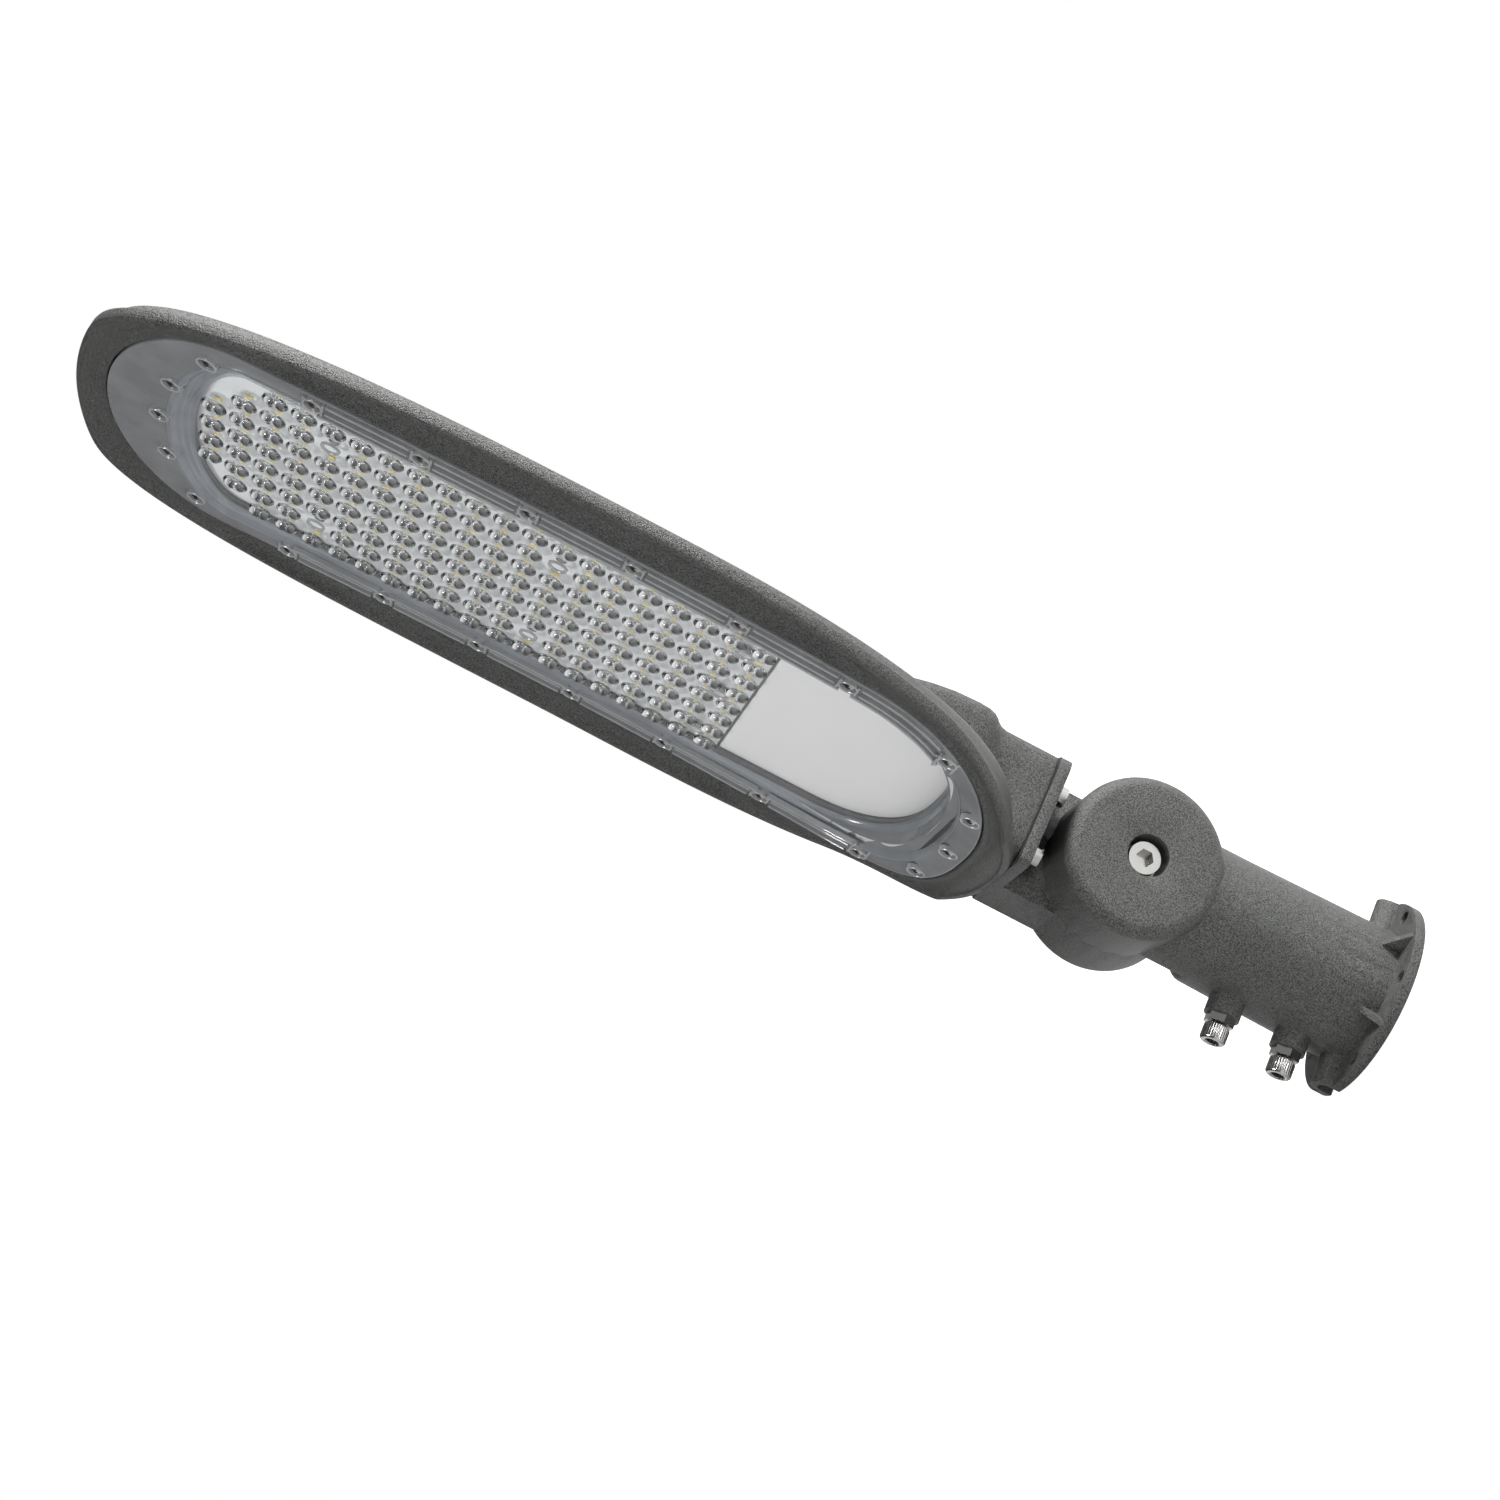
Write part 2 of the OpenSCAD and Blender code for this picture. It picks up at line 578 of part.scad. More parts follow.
module head_bracket() {
  plate_z = pivot_z + plate_rise;
  color([0.37, 0.38, 0.37]) difference() {
    union() {
      translate([0, 0, plate_z]) linear_extrude(plate_t) neck_plan(9);
      intersection() {
        translate([0, 0, pivot_z]) linear_extrude(plate_rise + 1) neck_plan(9);
        translate([-neck_w / 2 - 1, -neck_front - 1, pivot_z]) cube([arm_w + 1, 100, plate_rise + 1]);
      }
      round_disc(head_face - 1, -disc_head_x);
      serration(head_face, 1, 0);
    }
    along_x(-60, 10, bolt_d / 2 + 0.05);
    along_x(head_face - 0.5, 10, 13);
    translate([pocket_floor - 40, 0, pivot_z]) rotate([0, 90, 0]) rotate(0)
      cylinder(h = 40, r = pocket_af / sqrt(3), $fn = 6);
    translate([bracket_x, 0, plate_z - 1]) cylinder(h = 10, r = gland_r + 0.2, $fn = 32);
    for (s = [-1, 1]) translate([bracket_x, s * bracket_screw_span / 2, plate_z - 1])
      cylinder(h = 10, r = bracket_screw_d / 2 + 0.3, $fn = 32);
  }
}

module bracket_screws() {
  z1 = pivot_z + plate_rise - 2.2;
  color("silver") for (s = [-1, 1]) translate([bracket_x, s * bracket_screw_span / 2, 0]) difference() {
    union() {
      translate([0, 0, z1 - bracket_screw_d]) cylinder(h = bracket_screw_d, r = bracket_screw_d * 0.83, $fn = 32);
      translate([0, 0, z1 - 1]) cylinder(h = 19, r = bracket_screw_d / 2, $fn = 32);
    }
    translate([0, 0, z1 - bracket_screw_d - 1]) cylinder(h = 4, r = bracket_screw_d * 0.48, $fn = 6);
  }
}

module bracket_washers() {
  z1 = pivot_z + plate_rise - 2.2;
  color("silver") for (s = [-1, 1]) translate([bracket_x, s * bracket_screw_span / 2, z1]) difference() {
    cylinder(h = 2.2, r = 5.6, $fn = 32);
    translate([0, 0, -1]) cylinder(h = 5, r = bracket_screw_d / 2 + 0.15, $fn = 32);
  }
}

module cable_gland() {
  z1 = pivot_z + plate_rise;
  color([0.1, 0.1, 0.1]) translate([bracket_x, 0, 0]) difference() {
    union() {
      translate([0, 0, z1 - 4.5]) cylinder(h = 4.5, r = 9.2, $fn = 6);
      translate([0, 0, z1 - 8.6]) cylinder(h = 4.2, r = 6.6, $fn = 32);
      translate([0, 0, z1 - 1]) cylinder(h = plate_t + 9, r = gland_r - 0.05, $fn = 32);
    }
    translate([0, 0, z1 - 12]) cylinder(h = 40, r = 3.8, $fn = 32);
  }
}

module pivot_nut() {
  color("silver") translate([nut_out, 0, pivot_z]) rotate([0, 90, 0]) difference() {
    intersection() {
      cylinder(h = nut_h, r = nut_af / sqrt(3), $fn = 6);
      union() {
        cylinder(h = 2.4, r = nut_af / 2 - 0.2, $fn = 48);
        translate([0, 0, 2.3]) cylinder(h = nut_h, r = nut_af, $fn = 48);
      }
    }
    translate([0, 0, -1]) cylinder(h = nut_h + 2, r = bolt_d / 2 + thread_gap, $fn = 48);
  }
}

module nut_washer() {
  color("silver") difference() {
    along_x(pocket_floor - washer_t, pocket_floor, nut_af / 2 - 0.2, 48);
    along_x(pocket_floor - 10, pocket_floor + 5, bolt_d / 2 + 0.3, 48);
  }
}

module flange_ring() {
  difference() {
    union() {
      cylinder(h = flange_h, r = flange_d / 2, $fn = 96);
      for (s = [-1, 1]) intersection() {
        translate([0, s * (flange_d / 2), 5]) rotate([s * 90, 0, 0])
          cylinder(h = flange_d / 2 - bore_d / 2, r = 8, $fn = 48);
        translate([-20, -flange_d / 2 - 1, 0]) cube([40, flange_d + 2, 20]);
        cylinder(h = 20, r = flange_d / 2, $fn = 96);
      }
      for (a = [30, 150, 210, 330]) rotate(a) translate([bore_d / 2 + 1, rib_t / 2, 0]) rotate([90, 0, 0])
        linear_extrude(rib_t) polygon([[0, 0], [flange_d / 2 - bore_d / 2 - 3, 0],
          [flange_d / 2 - bore_d / 2 - 3, flange_h], [tube_d / 2 - bore_d / 2 - 1, flange_h + rib_h], [0, flange_h + rib_h]]);
    }
    for (i = [0 : 5]) rotate(i * 60) translate([flange_pcd / 2, 0, -1])
      cylinder(h = flange_h + 2, r = flange_hole_d / 2, $fn = 32);
    for (s = [-1, 1]) {
      translate([0, s * (flange_d / 2 + 5), 5]) rotate([s * 90, 0, 0])
        cylinder(h = flange_d / 2 + 5 - tube_d / 2 - 1.5, r = 4.4, $fn = 32);
      translate([-4.4, s > 0 ? tube_d / 2 + 1.5 : -flange_d / 2 - 5, -1])
        cube([8.8, flange_d / 2 + 5 - tube_d / 2 - 1.5, 6]);
    }
  }
}

module pole_spigot() {
  color([0.37, 0.38, 0.37]) difference() {
    union() {
      flange_ring();
      rotate_extrude($fn = 96) {
        polygon([[0, 0], [tube_d / 2, 0], [tube_d / 2, flange_h], [tube_top_d / 2, shoulder_z - shoulder_r],
          [tube_top_d / 2 - shoulder_r, shoulder_z - shoulder_r], [tube_top_d / 2 - shoulder_r, shoulder_z], [0, shoulder_z]]);
        translate([tube_top_d / 2 - shoulder_r, shoulder_z - shoulder_r]) circle(shoulder_r, $fn = 64);
      }
      intersection() {
        translate([0, 0, shoulder_z - 20]) cylinder(h = pivot_z - shoulder_z + 20, r = tube_top_d / 2, $fn = 96);
        translate([1.5, -60, 0]) cube([60, 120, 200]);
      }
      round_disc(spigot_face + 1, disc_spigot_x);
      serration(spigot_face, -1, 180 / teeth);
      for (z = set_at) along_y([0, z], -set_boss_y, -bore_d / 2 - 1, 8.8, 32);
    }
    translate([0, 0, -1]) cylinder(h = bore_l + 1, r = bore_d / 2, $fn = 96);
    along_x(-20, 60, bolt_d / 2 + 0.05);
    along_x(cbore_floor, 60, cbore_r);
    along_x(-20, spigot_face + 0.5, 13);
    for (z = set_at) along_y([0, z], -set_boss_y - 1, -10, set_r + thread_gap, 32);
    translate([-13, 19, bore_l - 2]) cylinder(h = 40, r = 6, $fn = 32);
  }
}

module pivot_bolt() {
  color("silver") difference() {
    union() {
      along_x(bolt_seat, bolt_seat + cap_h, cap_r, 48);
      along_x(bolt_seat - bolt_l, bolt_seat + 1, bolt_d / 2, 48);
    }
    along_x(bolt_seat + cap_h * 0.45, bolt_seat + cap_h + 2, bolt_d * 0.46, 6);
  }
}

module bolt_spring_washer() {
  color("silver") difference() {
    along_x(bolt_seat - spring_t, bolt_seat, bolt_d * 0.87, 48);
    along_x(bolt_seat - 9, bolt_seat + 2, bolt_d / 2 + 0.2, 48);
    translate([bolt_seat - 9, -0.9, pivot_z]) cube([12, 1.8, 20]);
  }
}

module bolt_washer() {
  color("silver") difference() {
    along_x(cbore_floor, bolt_seat - spring_t, cbore_r - 0.5, 48);
    along_x(cbore_floor - 9, bolt_seat + 2, bolt_d / 2 + 0.2, 48);
  }
}

module jam_nuts() {
  color("silver") for (z = set_at) difference() {
    along_y([0, z], -set_boss_y - jam_h, -set_boss_y, set_screw_d * 1.625 / sqrt(3), 6);
    along_y([0, z], -70, -20, set_r + thread_gap, 32);
  }
}

module set_screw(z) {
  difference() {
    union() {
      along_y([0, z], -set_seat - set_screw_d, -set_seat, set_screw_d * 0.8, 48);
      along_y([0, z], -set_seat - 1, -set_tip, set_r, 32);
    }
    along_y([0, z], -set_seat - set_screw_d - 1, -set_seat - set_screw_d * 0.5, set_screw_d * 0.45, 6);
  }
}
module set_screw_upper() { color("silver") set_screw(set_at[1]); }
module set_screw_lower() { color("silver") set_screw(set_at[0]); }

housing();
cover_gasket();
lens_cover();
led_board();
led_chips();
board_screws();
driver_cover();
led_driver();
driver_screws();
terminal_block();
cover_screws();
neck_gasket();
head_bracket();
bracket_screws();
bracket_washers();
cable_gland();
pivot_nut();
nut_washer();
pole_spigot();
pivot_bolt();
bolt_spring_washer();
bolt_washer();
jam_nuts();
set_screw_upper();
set_screw_lower();
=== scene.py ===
import math
import bmesh
import bpy
import numpy as np
from mathutils import Matrix, Vector


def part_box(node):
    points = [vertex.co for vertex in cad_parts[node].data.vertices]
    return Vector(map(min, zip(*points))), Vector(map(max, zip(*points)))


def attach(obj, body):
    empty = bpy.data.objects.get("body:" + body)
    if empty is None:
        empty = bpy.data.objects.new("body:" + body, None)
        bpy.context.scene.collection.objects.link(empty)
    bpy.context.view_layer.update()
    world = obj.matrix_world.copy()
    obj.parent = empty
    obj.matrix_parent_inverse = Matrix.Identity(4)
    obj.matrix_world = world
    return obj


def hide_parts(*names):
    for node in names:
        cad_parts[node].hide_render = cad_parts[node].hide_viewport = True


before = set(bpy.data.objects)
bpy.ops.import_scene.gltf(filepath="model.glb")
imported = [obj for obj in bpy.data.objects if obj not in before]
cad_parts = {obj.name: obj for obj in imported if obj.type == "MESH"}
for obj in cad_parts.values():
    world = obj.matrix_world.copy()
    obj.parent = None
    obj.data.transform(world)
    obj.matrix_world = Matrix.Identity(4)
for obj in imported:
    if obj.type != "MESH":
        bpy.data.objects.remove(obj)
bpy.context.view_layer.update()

# ---------------------------------------------------------------------------
# Camera: a long lens at the lamp's lit side, held rolled so that the lamp runs
# across the frame from its tip to its flange.
right = Vector((0.23722, 0.40085, -0.88490)).normalized()
ahead = Vector((-0.91679, 0.39364, -0.06746)).normalized()
above = right.cross(ahead).normalized()
viewer = bpy.data.cameras.new("viewer")
viewer.sensor_width = 36
viewer.lens = 63.62
viewer.shift_x = -0.0313
viewer.shift_y = -0.0549
viewer.clip_end = 60
camera = bpy.data.objects.new("viewer", viewer)
bpy.context.scene.collection.objects.link(camera)
camera.matrix_world = Matrix((
    (right.x, above.x, -ahead.x, 1.16562),
    (right.y, above.y, -ahead.y, -0.48347),
    (right.z, above.z, -ahead.z, 0.40684),
    (0, 0, 0, 1)))
bpy.context.scene.camera = camera

# ---------------------------------------------------------------------------
# Studio: a pale matt floor that the flange stands on, even white surroundings
# and large soft lamps, so that the castings shade gently from side to side.
bpy.context.scene.view_settings.view_transform = "Standard"
surround = bpy.data.worlds.new("studio")
bpy.context.scene.world = surround
surround.use_nodes = True
st = surround.node_tree
plain_back = st.nodes["Background"]
plain_back.inputs[0].default_value = (1, 1, 1, 1)
room = st.nodes.new("ShaderNodeBackground")
room.inputs[1].default_value = 1.0
look = st.nodes.new("ShaderNodeTexCoord")
apart = st.nodes.new("ShaderNodeSeparateXYZ")
st.links.new(look.outputs["Generated"], apart.inputs[0])
walls = st.nodes.new("ShaderNodeMapRange")
walls.inputs["From Min"].default_value = -0.75
walls.inputs["From Max"].default_value = 0.85
walls.inputs["To Min"].default_value = 0.02
walls.inputs["To Max"].default_value = 0.42
st.links.new(apart.outputs["Y"], walls.inputs["Value"])
st.links.new(walls.outputs["Result"], room.inputs[0])
seen_by = st.nodes.new("ShaderNodeLightPath")
choose = st.nodes.new("ShaderNodeMixShader")
st.links.new(seen_by.outputs["Is Camera Ray"], choose.inputs[0])
st.links.new(room.outputs[0], choose.inputs[1])
st.links.new(plain_back.outputs[0], choose.inputs[2])
st.links.new(choose.outputs[0], st.nodes["World Output"].inputs[0])
floor_mesh = bpy.data.meshes.new("floor")
floor_mesh.from_pydata([(-9, -9, 0), (9, -9, 0), (9, 9, 0), (-9, 9, 0)], [], [(0, 1, 2, 3)])
floor_mesh.transform(Matrix.Translation((0, 0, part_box("pole_spigot")[0].z - 0.0004)))
floor = bpy.data.objects.new("floor", floor_mesh)
bpy.context.scene.collection.objects.link(floor)
paper = bpy.data.materials.new("pale paper")
paper.use_nodes = True
paper.node_tree.nodes["Principled BSDF"].inputs["Base Color"].default_value = (0.6, 0.6, 0.6, 1)
paper.node_tree.nodes["Principled BSDF"].inputs["Emission Color"].default_value = (1, 1, 1, 1)
lit = paper.node_tree.nodes.new("ShaderNodeLightPath")
glow = paper.node_tree.nodes.new("ShaderNodeMapRange")
glow.inputs["To Min"].default_value = 0.12
glow.inputs["To Max"].default_value = 0.86
paper.node_tree.links.new(lit.outputs["Is Camera Ray"], glow.inputs["Value"])
paper.node_tree.links.new(glow.outputs["Result"],
                          paper.node_tree.nodes["Principled BSDF"].inputs["Emission Strength"])
paper.node_tree.nodes["Principled BSDF"].inputs["Roughness"].default_value = 0.9
floor_mesh.materials.append(paper)
for name, place, aim, size, watts in (
        ("key", (0.5, 1.4, 1.15), (0, 0, 0.35), 0.5, 64),
        ("front", (0.3, -1.9, 1.5), (0, 0, 0.42), 0.6, 26),
        ("low", (1.8, 0.5, 0.5), (0, 0, 0.3), 0.4, 9)):
    lamp = bpy.data.lights.new(name, "AREA")
    lamp.size = size
    lamp.energy = watts
    holder = bpy.data.objects.new(name, lamp)
    bpy.context.scene.collection.objects.link(holder)
    facing = (Vector(aim) - Vector(place)).to_track_quat("-Z", "Y").to_matrix().to_4x4()
    holder.matrix_world = Matrix.Translation(place) @ facing

# ---------------------------------------------------------------------------
# Head housing: one aluminium die casting with a bowed rim, a fluted face round
# the cover's recess, a crowned finned back, a hump over the driver and a neck.
# It is sprayed with a sand-textured dark grey powder coat and baked.
H0, H1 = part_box("housing")
seam, tip = H0.z * 1000, H1.z * 1000
half = (H1.x - H0.x) * 500
LIP_W, RIM_T, FLUTE = 4.0, 6.5, 6.0
# Heights above the seam with the neck at which the head is widest and at which
# its face stands furthest forward, and how far its heel curve runs below it.
WIDEST, CREST, HEEL_DROP = 207, 237, 2
TIP_R = 271.0
HEEL_CURVE = 6400.0
C0, C1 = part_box("lens_cover")
cover_half = (C1.x - C0.x) * 500
cover_tip, cover_heel = C1.z * 1000, C0.z * 1000
window_half = cover_half - 21.0
window_tip, window_heel = cover_tip - 41.5, cover_heel + 22.0
floor_back = -2.4


def bow(z, front, tip_curve, droop, droop_from):
    """Bowed face: two parabolas that meet at the crest, and a droop at the heel."""
    z = np.asarray(z, float)
    y = front - (z - seam - CREST) ** 2 / np.where(z > seam + CREST, tip_curve, HEEL_CURVE)
    return y - droop * np.clip(seam + droop_from - z, 0, None) ** 2


def lip_y(z):
    return np.maximum(bow(z, -15.5, 9600.0, 0.0037, 69), -35.5)


def cover_y(z):
    return bow(z, -14.0, 12600.0, 0.0018, 99)


def signed_power(v, e):
    return np.sign(v) * np.abs(v) ** e


def head_outline(t, inset):
    """Outline of the head seen from the front, moved inwards by inset."""
    c, s = np.cos(t), np.sin(t)
    wide = seam + WIDEST
    z = np.where(s >= 0, wide + (tip - inset - wide) * np.abs(s) ** (2 / 3),
                 wide - (wide - seam + HEEL_DROP - inset) * np.abs(s) ** (2 / 2.5))
    x = (half - inset) * np.where(s >= 0, signed_power(c, 0.512), signed_power(c, 0.872))
    reach = np.sqrt(np.clip(TIP_R ** 2 - (z - tip + inset + TIP_R) ** 2, 0, None))
    near = x * (1 + (np.abs(x) / (reach + 1e-6)) ** 18) ** (-1 / 18)
    return np.where(s >= 0, near, x), z


def rounded_outline(t, w, top, heel, top_h, heel_h, grow):
    """Straight-sided outline, its points level with those of the head's outline."""
    top_z, low_z = top - top_h, heel + heel_h
    wide, s = seam + WIDEST, np.sin(t)
    fall = WIDEST + HEEL_DROP
    up, angle = s >= 0, np.arcsin(np.abs(s))
    bend = np.where(up, np.arcsin(((top_z - wide) / (tip - wide)) ** 1.5),
                    np.arcsin(((wide - low_z) / fall) ** 1.25))
    level = np.where(up, wide + (tip - wide) * np.abs(s) ** (2 / 3),
                     wide - fall * np.abs(s) ** 0.8)
    corner = np.clip((angle - bend) / (np.pi / 2 - bend), 0, 1) * np.pi / 2
    c, v = np.cos(corner), np.sin(corner)
    x = (w + grow) * np.sign(np.cos(t)) * np.where(up, c, signed_power(c, 2 / 2.6))
    z = np.where(up, top_z + (top_h + grow) * v, low_z - (heel_h + grow) * v ** (2 / 2.6))
    return x, np.where(angle <= bend, level, z)


def cover_outline(t, grow):
    return rounded_outline(t, cover_half, cover_tip, cover_heel, 64, 90, grow)


def window_outline(t, grow):
    return rounded_outline(t, window_half, window_tip, window_heel, 27, 55, grow)


def smooth_step(v, a, b):
    s = np.clip((v - a) / (b - a), 0, 1)
    return s * s * (3 - 2 * s)


def skin(name, rings, caps=(True, True), sharp=32, ring_back=False):
    """Mesh through closed rings of equal length, in millimetres, with flat ends."""
    n = len(rings[0][0])
    points = np.concatenate([np.stack(r, 1) for r in rings]) * 0.001
    faces = []
    for j in range(len(rings) - 1 + ring_back):
        a, b = j * n, (j + 1) % len(rings) * n
        faces += [(a + i, a + (i + 1) % n, b + (i + 1) % n, b + i) for i in range(n)]
    if caps[0]:
        faces.append(tuple(range(n - 1, -1, -1)))
    if caps[1]:
        faces.append(tuple((len(rings) - 1) * n + i for i in range(n)))
    mesh = bpy.data.meshes.new(name)
    mesh.from_pydata([tuple(p) for p in points], [], faces)
    bm = bmesh.new()
    bm.from_mesh(mesh)
    bmesh.ops.recalc_face_normals(bm, faces=bm.faces)
    bm.to_mesh(mesh)
    bm.free()
    mesh.shade_smooth()
    mesh.set_sharp_from_angle(angle=math.radians(sharp))
    return mesh


def join_into(name, meshes):
    bm = bmesh.new()
    for m in meshes:
        bm.from_mesh(m)
    mesh = bpy.data.meshes.new(name)
    bm.to_mesh(mesh)
    bm.free()
    piece = bpy.data.objects.new(name, mesh)
    bpy.context.scene.collection.objects.link(piece)
    return piece


OUTLINE_N = 360
turn = (np.arange(OUTLINE_N) + 0.5) * 2 * np.pi / OUTLINE_N
loops = []


def add_loop(xz, y):
    x, z = xz
    loops.append((x, y + 0 * x, np.maximum(z, seam)))


pocket = window_outline(turn, 2.2)
add_loop(pocket, -7.4 + 0 * turn)
add_loop(pocket, cover_y(pocket[1]) + 4.0)
recess = cover_outline(turn, 0.7)
add_loop(recess, cover_y(recess[1]) + 4.0)
lip_in = head_outline(turn, LIP_W)
side = (smooth_step(lip_in[1], seam + 100, seam + 128)
        * (1 - smooth_step(lip_in[1], tip - 112, tip - 62)))
edge_in = cover_outline(turn, 1.2)
add_loop(recess, cover_y(recess[1]) + 1.0)
for s in (0, 0.04, 0.09, 0.16, 0.26, 0.38, 0.5, 0.62, 0.74, 0.84, 0.91, 0.96, 1.0):
    x = edge_in[0] + (lip_in[0] - edge_in[0]) * s
    z = edge_in[1] + (lip_in[1] - edge_in[1]) * s
    plain = (cover_y(z) + 0.5) * (1 - s) + (lip_y(z) + 0.5) * s
    hollow = (0.7 + FLUTE * side) * (1 - (2 * min(max((s - 0.06) / 0.94, 0), 1) - 1) ** 4)
    add_loop((x, z), plain + hollow)
for inset, back in ((LIP_W - 0.7, 0.0), (1.6, -0.02), (0.7, 0.25), (0.2, 0.8), (0, 1.6),
                    (0, RIM_T - 1.6), (0.3, RIM_T - 0.7), (1.0, RIM_T - 0.1), (2.4, RIM_T + 0.15)):
    o = head_outline(turn, inset)
    add_loop(o, lip_y(o[1]) + back)
for inset, share in ((4, 0.12), (5.5, 0.36), (7.5, 0.58), (10, 0.75),
                     (13.5, 0.88), (18, 0.96), (23, 0.99), (28, 1.0)):
    o = head_outline(turn, inset)
    y = lip_y(o[1]) + RIM_T
    add_loop(o, y + (floor_back - y) * share)
shell = skin("housing shell", loops, sharp=30)


def cross_ring(w, front, back, z, corner, n=72):
    """Rounded-rectangle ring at height z."""
    a = (np.arange(n) + 0.5) * 2 * np.pi / n
    e = corner
    x = w * signed_power(np.cos(a), e)
    y = (front + back) / 2 + (back - front) / 2 * signed_power(np.sin(a), e)
    return x, y, z + 0 * a


HUMP_FOOT, HUMP_FRONT = 33, -4.5
hump_rings = []
z0 = seam + HUMP_FOOT
for dz, w, b in ((0, 38.5, 24.5), (0.6, 41.5, 26.3), (2.0, 43.8, 27.7), (4.4, 45.6, 28.8),
                 (8, 46.6, 29.6), (14, 47.2, 29.6), (26, 48.2, 28.6), (38, 49.6, 26.0),
                 (50, 51.5, 22.0), (62, 54.0, 16.6), (74, 57.5, 10.2), (86, 61.5, 4.2),
                 (98, 65.5, -0.4), (110, 69, -3.2)):
    hump_rings.append(cross_ring(w, HUMP_FRONT, b, z0 + dz, 0.46))
hump = skin("driver hump", hump_rings, sharp=40)
neck_rings = [cross_ring(w, -33.5 + d, 26 - d, z, 0.30) for z, w, d in (
    (seam, 36.9, 0.6), (seam + 0.5, 37.35, 0.15), (seam + 1.2, 37.5, 0), (seam + 12, 37.5, 0),
    (seam + 28, 37.6, 0), (seam + 31, 38.4, -0.5), (seam + 33.4, 40.0, -1.6))]
for i, r in enumerate(neck_rings):
    x, y, z = r
    neck_rings[i] = (x, np.maximum(y, lip_y(z) + 1.0), z)
neck = skin("neck", neck_rings, sharp=40)
FINS_A_SIDE, FIN_PITCH, FIN_T, FIN_CROWN = 4, 17.0, 1.25, 12
fin_meshes = []
fin_low, fin_high = window_heel + 108, tip - 33
for i in range(-FINS_A_SIDE, FINS_A_SIDE + 1):
    xc = i * FIN_PITCH
    crown = FIN_CROWN * (1 - (abs(i) * 1.7 / 9.6) ** 2)
    reach = fin_high - (abs(i) / FINS_A_SIDE) ** 3 * 26
    rings = []
    for u in np.linspace(0, 1, 25):
        z = fin_low + (reach - fin_low) * u
        h = floor_back + crown * (1 - u ** 4) * (1 - (1 - u) ** 8) + 0.05
        t = FIN_T
        rings.append((np.array([xc - t - 0.25, xc - t, xc - t + 0.35, xc,
                                xc + t - 0.35, xc + t, xc + t + 0.25]),
                      np.array([floor_back - 1, h - 0.5, h - 0.1, h,
                                h - 0.1, h - 0.5, floor_back - 1]),
                      np.full(7, z)))
    fin_meshes.append(skin("fin", rings, sharp=50))
housing = join_into("head_housing", [shell, hump, neck] + fin_meshes)
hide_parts("housing")
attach(housing, "head")


GRAIN = 1450


def sand_group():
    """Grain of a sand-textured powder coat: speckle mask, soft cloud mask and height."""
    g = bpy.data.node_groups.new("sand texture", "ShaderNodeTree")
    size = g.interface.new_socket("Grain", in_out="INPUT", socket_type="NodeSocketFloat")
    size.default_value = GRAIN
    for n in ("Speckle", "Cloud", "Height"):
        g.interface.new_socket(n, in_out="OUTPUT", socket_type="NodeSocketFloat")
    gi, go = g.nodes.new("NodeGroupInput"), g.nodes.new("NodeGroupOutput")
    co = g.nodes.new("ShaderNodeTexCoord")
    fine = g.nodes.new("ShaderNodeTexNoise")
    fine.inputs["Detail"].default_value = 3
    fine.inputs["Roughness"].default_value = 0.65
    cells = g.nodes.new("ShaderNodeTexVoronoi")
    cells.feature = "F1"
    cloud = g.nodes.new("ShaderNodeTexNoise")
    cloud.inputs["Scale"].default_value = 24
    cloud.inputs["Detail"].default_value = 2
    for n in (fine, cells, cloud):
        g.links.new(co.outputs["Object"], n.inputs["Vector"])
    g.links.new(gi.outputs["Grain"], fine.inputs["Scale"])
    g.links.new(gi.outputs["Grain"], cells.inputs["Scale"])
    spread = g.nodes.new("ShaderNodeMapRange")
    spread.inputs["From Min"].default_value = 0.38
    spread.inputs["From Max"].default_value = 0.64
    g.links.new(fine.outputs["Fac"], spread.inputs["Value"])
    g.links.new(spread.outputs["Result"], go.inputs["Speckle"])
    g.links.new(cloud.outputs["Fac"], go.inputs["Cloud"])
    mix = g.nodes.new("ShaderNodeMath")
    mix.operation = "SUBTRACT"
    g.links.new(fine.outputs["Fac"], mix.inputs[0])
    half_cells = g.nodes.new("ShaderNodeMath")
    half_cells.operation = "MULTIPLY"
    half_cells.inputs[1].default_value = 0.35
    g.links.new(cells.outputs["Distance"], half_cells.inputs[0])
    g.links.new(half_cells.outputs[0], mix.inputs[1])
    g.links.new(mix.outputs[0], go.inputs["Height"])
    return g


sand = sand_group()


